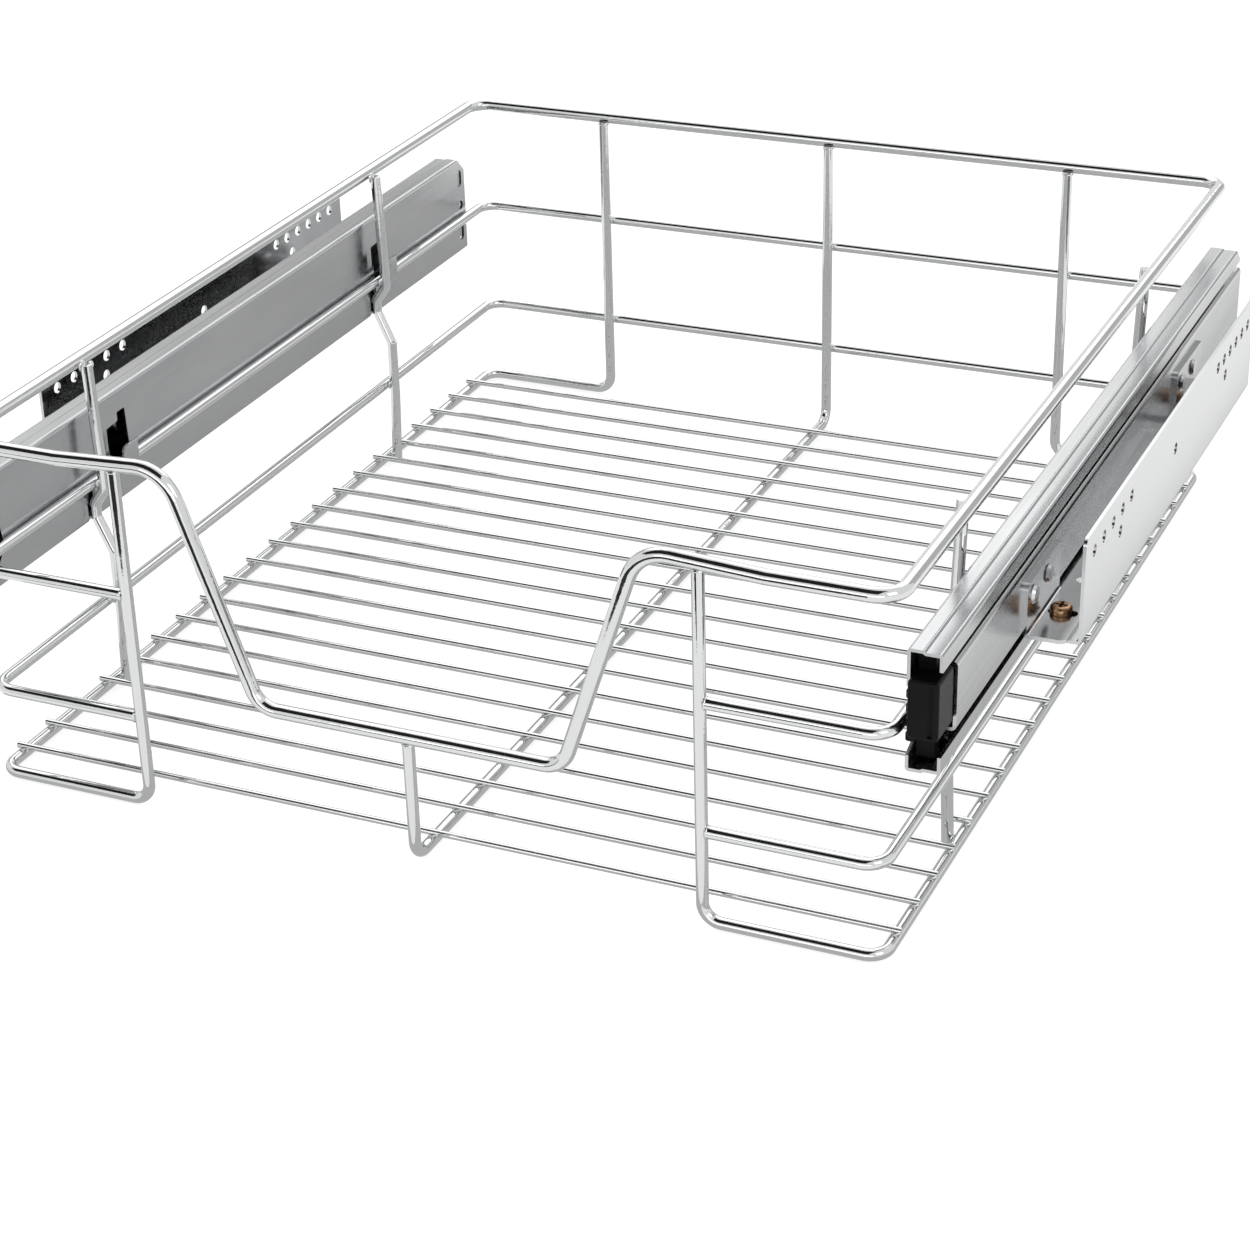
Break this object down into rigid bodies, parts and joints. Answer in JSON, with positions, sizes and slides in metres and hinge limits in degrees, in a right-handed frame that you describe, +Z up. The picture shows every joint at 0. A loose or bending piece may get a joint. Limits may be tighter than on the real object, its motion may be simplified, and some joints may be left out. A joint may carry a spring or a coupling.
{
  "type": "pull out cabinet basket",
  "caption": "Wire basket with a dropped front that pulls out of a kitchen cabinet on ball-bearing slides held by screw-on side brackets.",
  "frame": {"origin": "centre of the bounding box at its bottom: midway between the two cabinet walls, halfway along the basket, at the underside of the floor wires", "axes": "+X to the right seen from the front, +Y to the back of the cabinet, +Z up; the basket pulls out along -Y"},
  "size_m": [0.4224, 0.43, 0.1416],
  "materials": {
    "chrome_wire": "bright chrome plating",
    "slide_steel": "roll-formed zinc-plated steel",
    "bracket_steel": "pressed zinc-plated steel",
    "cage_steel": "thin zinc-plated strip",
    "ball_steel": "polished balls",
    "fastener_steel": "zinc-plated rivets and nuts",
    "bronze_screw": "yellow-bronze passivated screws",
    "black_plastic": "moulded nylon"
  },
  "bodies": {
    "mounting_plates": {"bracket_plate_left": "bracket_steel", "bracket_plate_right": "bracket_steel", "adjust_screws_left": "bronze_screw", "adjust_screws_right": "bronze_screw", "adjust_nuts_left": "fastener_steel", "adjust_nuts_right": "fastener_steel"},
    "cabinet_rails": {"cabinet_member_left": "slide_steel", "cabinet_member_right": "slide_steel", "tab_front_left": "bracket_steel", "tab_front_right": "bracket_steel", "tab_rear_left": "bracket_steel", "tab_rear_right": "bracket_steel", "rivets_left": "fastener_steel", "rivets_right": "fastener_steel"},
    "basket": {"rim_wire": "chrome_wire", "middle_hoop": "chrome_wire", "lower_hoop": "chrome_wire", "frame_wire_left": "chrome_wire", "frame_wire_right": "chrome_wire", "frame_wire_centre": "chrome_wire", "floor_cross_wires": "chrome_wire", "side_upright_front_left": "chrome_wire", "side_upright_front_right": "chrome_wire", "side_upright_rear_left": "chrome_wire", "side_upright_rear_right": "chrome_wire", "basket_member_left": "slide_steel", "basket_member_right": "slide_steel", "bumper_left": "black_plastic", "bumper_right": "black_plastic"},
    "middle_member_left_body": {"middle_member_left": "slide_steel"},
    "inner_cage_left": {"inner_ball_cage_left": "cage_steel", "inner_balls_left": "ball_steel"},
    "outer_cage_left": {"outer_ball_cage_left": "cage_steel", "outer_balls_left": "ball_steel"},
    "middle_member_right_body": {"middle_member_right": "slide_steel"},
    "inner_cage_right": {"inner_ball_cage_right": "cage_steel", "inner_balls_right": "ball_steel"},
    "outer_cage_right": {"outer_ball_cage_right": "cage_steel", "outer_balls_right": "ball_steel"}
  },
  "joints": [
    {"name": "side_adjust", "type": "slide", "parent": "mounting_plates", "child": "cabinet_rails", "axis": [1, 0, 0], "range_m": [-0.0012, 0.0012]},
    {"name": "basket_pull", "type": "slide", "parent": "cabinet_rails", "child": "basket", "axis": [0, -1, 0], "range_m": [0, 0.38]},
    {"name": "middle_member_travel_left", "type": "slide", "parent": "cabinet_rails", "child": "middle_member_left_body", "axis": [0, -1, 0], "range_m": [0, 0.19]},
    {"name": "inner_cage_travel_left", "type": "slide", "parent": "cabinet_rails", "child": "inner_cage_left", "axis": [0, -1, 0], "range_m": [0, 0.095]},
    {"name": "outer_cage_travel_left", "type": "slide", "parent": "cabinet_rails", "child": "outer_cage_left", "axis": [0, -1, 0], "range_m": [0, 0.285]},
    {"name": "middle_member_travel_right", "type": "slide", "parent": "cabinet_rails", "child": "middle_member_right_body", "axis": [0, -1, 0], "range_m": [0, 0.19]},
    {"name": "inner_cage_travel_right", "type": "slide", "parent": "cabinet_rails", "child": "inner_cage_right", "axis": [0, -1, 0], "range_m": [0, 0.095]},
    {"name": "outer_cage_travel_right", "type": "slide", "parent": "cabinet_rails", "child": "outer_cage_right", "axis": [0, -1, 0], "range_m": [0, 0.285]}
  ],
  "couplings": [
    {"joint": "middle_member_travel_left", "follows": "basket_pull", "ratio": 0.5},
    {"joint": "inner_cage_travel_left", "follows": "basket_pull", "ratio": 0.25},
    {"joint": "outer_cage_travel_left", "follows": "basket_pull", "ratio": 0.75},
    {"joint": "middle_member_travel_right", "follows": "basket_pull", "ratio": 0.5},
    {"joint": "inner_cage_travel_right", "follows": "basket_pull", "ratio": 0.25},
    {"joint": "outer_cage_travel_right", "follows": "basket_pull", "ratio": 0.75}
  ]
}
